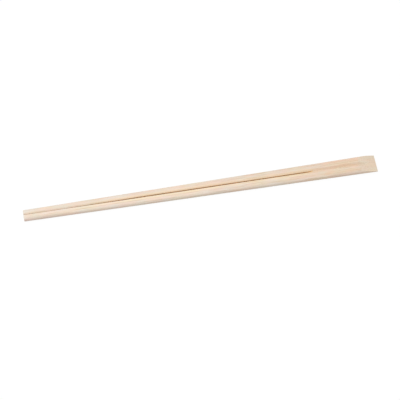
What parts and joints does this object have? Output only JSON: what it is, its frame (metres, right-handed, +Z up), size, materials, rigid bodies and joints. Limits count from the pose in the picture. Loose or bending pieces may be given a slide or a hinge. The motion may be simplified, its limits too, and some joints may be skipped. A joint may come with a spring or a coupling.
{
  "type": "bamboo chopsticks",
  "caption": "Disposable bamboo chopsticks, still joined at the slanted head, with a V groove and a saw cut between the tapering sticks.",
  "frame": {"origin": "middle of the pair's length and width, on the flat surface that it lies on", "axes": "+X along the sticks from the tips to the head, +Y across the pair from one stick to the other, +Z up, out of the face that the slanting cut is made in"},
  "size_m": [0.24, 0.0126, 0.0049],
  "materials": {
    "bamboo": "planed, satin, uncoated"
  },
  "bodies": {
    "root": {"chopstick_pair": "bamboo"}
  },
  "joints": []
}
